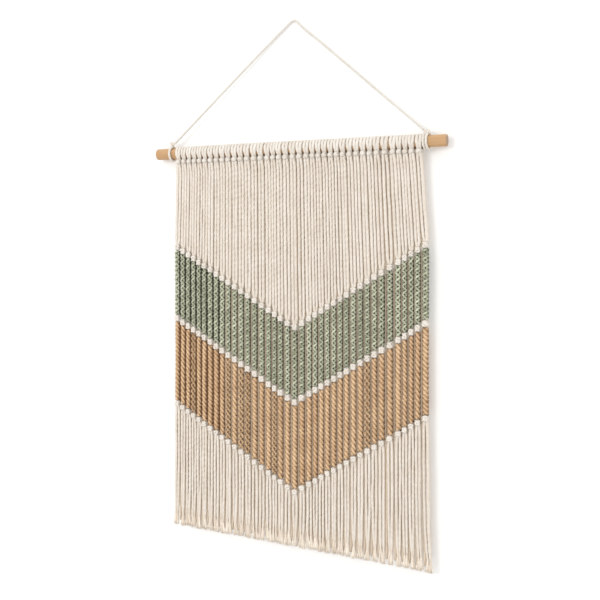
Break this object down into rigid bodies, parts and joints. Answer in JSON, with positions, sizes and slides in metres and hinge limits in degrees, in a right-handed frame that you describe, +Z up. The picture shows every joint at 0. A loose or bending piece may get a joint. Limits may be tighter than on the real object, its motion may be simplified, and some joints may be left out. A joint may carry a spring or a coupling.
{
  "type": "macrame wall hanging on a wooden rod",
  "caption": "Macrame wall hanging with green and tan chevron bands and a long fringe, looped over a plain wooden rod on a taut hanging cord.",
  "frame": {"origin": "the hang point: the inside of the bend where the hanging cord goes over its nail", "axes": "+Z up, +Y towards the wall, +X along the rod to the right as seen from the front"},
  "size_m": [0.4346, 0.0236, 0.749],
  "materials": {
    "rod_wood": "smooth unvarnished light wood",
    "natural_cord": "natural cotton cord, matt",
    "sage_cord": "sage-green cotton cord, matt",
    "tan_cord": "tan cotton cord, matt"
  },
  "bodies": {
    "root": {"rod": "rod_wood", "hanger_cord": "natural_cord", "hanger_hitch_left": "natural_cord", "hanger_hitch_right": "natural_cord", "larks_head_row": "natural_cord", "upper_strings": "natural_cord", "knots_above_sage": "natural_cord", "sage_band": "sage_cord", "knots_between_bands": "natural_cord", "tan_band": "tan_cord", "knots_below_tan": "natural_cord", "fringe": "natural_cord"}
  },
  "joints": []
}
